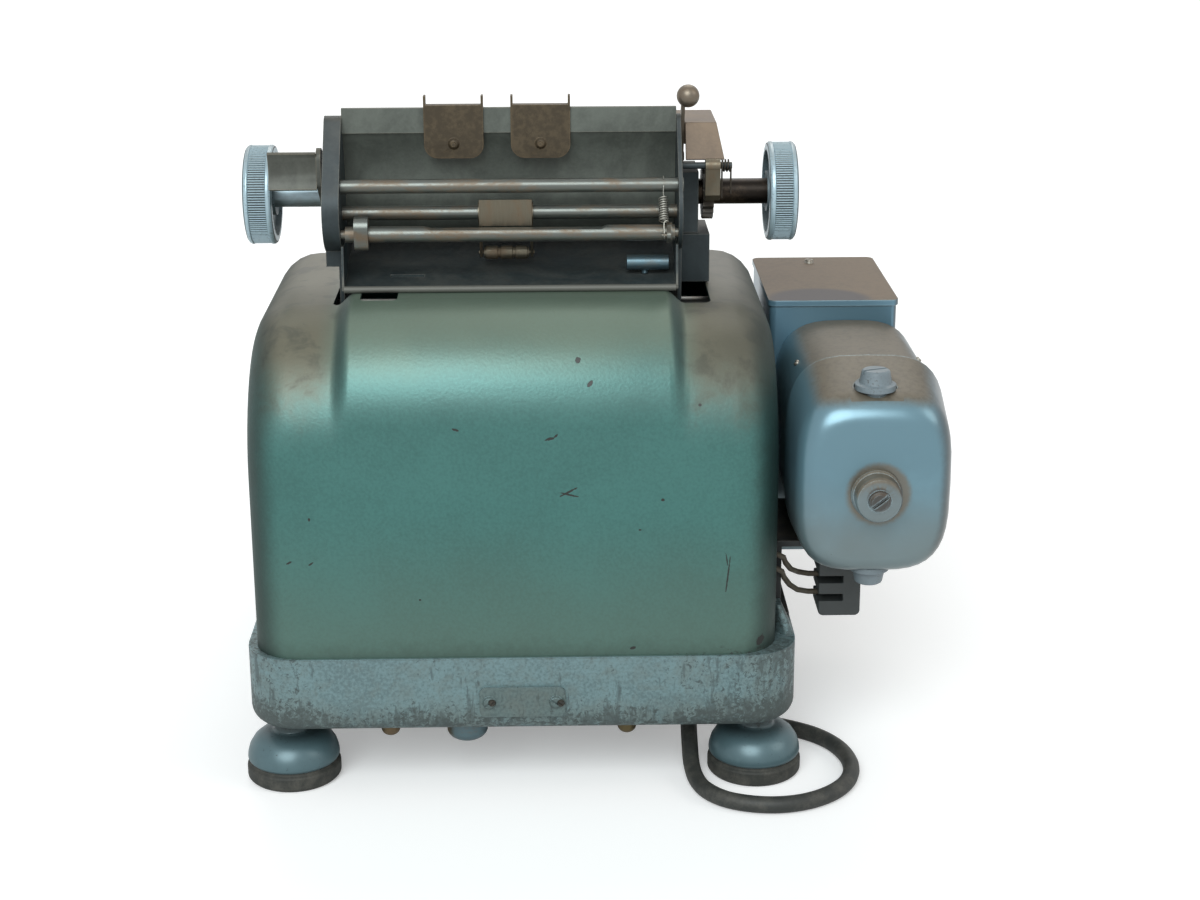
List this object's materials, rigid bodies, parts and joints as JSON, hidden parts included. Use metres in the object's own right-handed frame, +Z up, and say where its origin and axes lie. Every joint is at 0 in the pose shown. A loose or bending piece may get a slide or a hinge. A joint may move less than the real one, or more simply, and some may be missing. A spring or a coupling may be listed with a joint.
{
  "type": "electric adding machine",
  "caption": "Motor-driven desk adding machine with a wide paper carriage, a pressed hood over a cast base, round feet, a side motor, a sloping keyboard and a coiled mains cord.",
  "frame": {"origin": "middle of the footprint without the cord, on the table", "axes": "+Z up, +Y towards the operator's side, -Y the rear with the paper table, +X the side with the motor"},
  "size_m": [0.311, 0.4852, 0.3018],
  "materials": {
    "hood_paint": "semi-gloss enamel, worn",
    "base_paint": "hammered enamel, worn",
    "motor_paint": "gloss enamel, dusty",
    "rubber": "matt",
    "platen_rubber": "satin",
    "steel": "aged",
    "dark_steel": "satin black, worn",
    "brown_steel": "satin, worn",
    "cover_steel": "satin",
    "knob_plastic": "gloss",
    "brass": "aged",
    "black_plastic": "matt",
    "cord_rubber": "matt",
    "key_plastic": "gloss",
    "key_dark": "gloss",
    "cap_plastic": "satin"
  },
  "bodies": {
    "machine": {"base_casting": "base_paint", "base_nuts": "brass", "foot_cups": "base_paint", "foot_rubbers": "rubber", "rear_plate": "base_paint", "hood": "hood_paint", "frame_plates": "steel", "tie_rods": "steel", "keyboard_plate": "dark_steel", "carriage_plate_left": "dark_steel", "carriage_plate_right": "dark_steel", "paper_table": "dark_steel", "paper_trough": "dark_steel", "trough_stop": "motor_paint", "carriage_rods": "steel", "release_spring": "steel", "end_cover": "cover_steel", "pawl_spring": "steel", "gear_housing": "motor_paint", "motor_housing": "motor_paint", "motor_end_shield": "motor_paint", "bearing_cap": "motor_paint", "brush_caps": "cap_plastic", "motor_bracket": "dark_steel", "connector_block": "black_plastic", "motor_leads": "cord_rubber", "cord_gland": "cord_rubber", "cord": "cord_rubber", "cord_coil": "cord_rubber", "cord_plug": "black_plastic"},
    "guide_left": {"paper_guide_left": "brown_steel"},
    "guide_right": {"paper_guide_right": "brown_steel"},
    "release_lever": {"release_lever": "steel"},
    "release_shaft": {"release_shaft": "steel"},
    "feed_bracket": {"feed_bracket": "steel"},
    "feed_roller": {"feed_roller": "steel"},
    "thumb_lever": {"thumb_lever": "brown_steel"},
    "line_space_pawl": {"line_space_pawl": "steel"},
    "type_bars": {"type_bars": "steel"},
    "drive_shaft": {"drive_shaft": "steel", "worm_wheel": "brass"},
    "armature": {"motor_armature": "steel"},
    "platen": {"platen_roller": "platen_rubber", "platen_shaft": "steel", "platen_knobs": "knob_plastic", "platen_ratchet": "dark_steel"},
    "key_0": {"key_0": "key_plastic"},
    "key_1": {"key_1": "key_plastic"},
    "key_2": {"key_2": "key_plastic"},
    "key_3": {"key_3": "key_plastic"},
    "key_4": {"key_4": "key_plastic"},
    "key_5": {"key_5": "key_plastic"},
    "key_6": {"key_6": "key_plastic"},
    "key_7": {"key_7": "key_plastic"},
    "key_8": {"key_8": "key_plastic"},
    "key_9": {"key_9": "key_plastic"},
    "motor_bar": {"motor_bar": "key_dark"},
    "total_key": {"total_key": "key_dark"},
    "subtotal_key": {"subtotal_key": "key_dark"},
    "non_add_key": {"non_add_key": "key_dark"}
  },
  "joints": [
    {"name": "platen_spin", "type": "hinge", "parent": "machine", "child": "platen", "pos_m": [-0.034, -0.0544, 0.25], "axis": [1, 0, 0], "continuous": true},
    {"name": "guide_left_slide", "type": "slide", "parent": "machine", "child": "guide_left", "axis": [1, 0, 0], "range_m": [-0.012, 0.004]},
    {"name": "guide_right_slide", "type": "slide", "parent": "machine", "child": "guide_right", "axis": [1, 0, 0], "range_m": [-0.004, 0.012]},
    {"name": "release_lever_turn", "type": "hinge", "parent": "machine", "child": "release_lever", "pos_m": [-0.034, -0.0644, 0.268], "axis": [1, 0, 0], "range_deg": [-4, 20]},
    {"name": "release_shaft_turn", "type": "hinge", "parent": "machine", "child": "release_shaft", "pos_m": [-0.034, -0.1024, 0.2415], "axis": [1, 0, 0], "range_deg": [-3, 12], "deforming": ["release_spring"]},
    {"name": "feed_bracket_turn", "type": "hinge", "parent": "machine", "child": "feed_bracket", "pos_m": [-0.034, -0.0904, 0.2484], "axis": [1, 0, 0], "range_deg": [-8, 4], "stiffness_Nm_per_rad": 0.05},
    {"name": "feed_roller_spin", "type": "hinge", "parent": "feed_bracket", "child": "feed_roller", "pos_m": [-0.034, -0.0814, 0.2285], "axis": [1, 0, 0], "continuous": true},
    {"name": "thumb_lever_turn", "type": "hinge", "parent": "machine", "child": "thumb_lever", "pos_m": [-0.034, -0.0544, 0.25], "axis": [1, 0, 0], "range_deg": [-18, 3]},
    {"name": "pawl_turn", "type": "hinge", "parent": "machine", "child": "line_space_pawl", "pos_m": [-0.034, -0.0844, 0.2673], "axis": [1, 0, 0], "range_deg": [-12, 0], "stiffness_Nm_per_rad": 0.05},
    {"name": "type_bar_rise", "type": "slide", "parent": "machine", "child": "type_bars", "axis": [0, 0, 1], "range_m": [0, 0.017]},
    {"name": "drive_shaft_spin", "type": "hinge", "parent": "machine", "child": "drive_shaft", "pos_m": [0.1205, -0.0084, 0.1061], "axis": [1, 0, 0], "continuous": true},
    {"name": "armature_spin", "type": "hinge", "parent": "machine", "child": "armature", "pos_m": [0.1205, -0.0084, 0.141], "axis": [0, 1, 0], "continuous": true},
    {"name": "key_0_press", "type": "slide", "parent": "machine", "child": "key_0", "axis": [0, -0.3584, -0.9336], "range_m": [0, 0.005], "stiffness_N_per_m": 60, "springref_m": -0.004},
    {"name": "key_1_press", "type": "slide", "parent": "machine", "child": "key_1", "axis": [0, -0.3584, -0.9336], "range_m": [0, 0.005], "stiffness_N_per_m": 60, "springref_m": -0.004},
    {"name": "key_2_press", "type": "slide", "parent": "machine", "child": "key_2", "axis": [0, -0.3584, -0.9336], "range_m": [0, 0.005], "stiffness_N_per_m": 60, "springref_m": -0.004},
    {"name": "key_3_press", "type": "slide", "parent": "machine", "child": "key_3", "axis": [0, -0.3584, -0.9336], "range_m": [0, 0.005], "stiffness_N_per_m": 60, "springref_m": -0.004},
    {"name": "key_4_press", "type": "slide", "parent": "machine", "child": "key_4", "axis": [0, -0.3584, -0.9336], "range_m": [0, 0.005], "stiffness_N_per_m": 60, "springref_m": -0.004},
    {"name": "key_5_press", "type": "slide", "parent": "machine", "child": "key_5", "axis": [0, -0.3584, -0.9336], "range_m": [0, 0.005], "stiffness_N_per_m": 60, "springref_m": -0.004},
    {"name": "key_6_press", "type": "slide", "parent": "machine", "child": "key_6", "axis": [0, -0.3584, -0.9336], "range_m": [0, 0.005], "stiffness_N_per_m": 60, "springref_m": -0.004},
    {"name": "key_7_press", "type": "slide", "parent": "machine", "child": "key_7", "axis": [0, -0.3584, -0.9336], "range_m": [0, 0.005], "stiffness_N_per_m": 60, "springref_m": -0.004},
    {"name": "key_8_press", "type": "slide", "parent": "machine", "child": "key_8", "axis": [0, -0.3584, -0.9336], "range_m": [0, 0.005], "stiffness_N_per_m": 60, "springref_m": -0.004},
    {"name": "key_9_press", "type": "slide", "parent": "machine", "child": "key_9", "axis": [0, -0.3584, -0.9336], "range_m": [0, 0.005], "stiffness_N_per_m": 60, "springref_m": -0.004},
    {"name": "motor_bar_press", "type": "slide", "parent": "machine", "child": "motor_bar", "axis": [0, -0.3584, -0.9336], "range_m": [0, 0.005], "stiffness_N_per_m": 120, "springref_m": -0.004},
    {"name": "total_key_press", "type": "slide", "parent": "machine", "child": "total_key", "axis": [0, -0.3584, -0.9336], "range_m": [0, 0.005], "stiffness_N_per_m": 60, "springref_m": -0.004},
    {"name": "subtotal_key_press", "type": "slide", "parent": "machine", "child": "subtotal_key", "axis": [0, -0.3584, -0.9336], "range_m": [0, 0.005], "stiffness_N_per_m": 60, "springref_m": -0.004},
    {"name": "non_add_key_press", "type": "slide", "parent": "machine", "child": "non_add_key", "axis": [0, -0.3584, -0.9336], "range_m": [0, 0.005], "stiffness_N_per_m": 60, "springref_m": -0.004}
  ],
  "couplings": [
    {"joint": "armature_spin", "follows": "drive_shaft_spin", "ratio": -28}
  ]
}
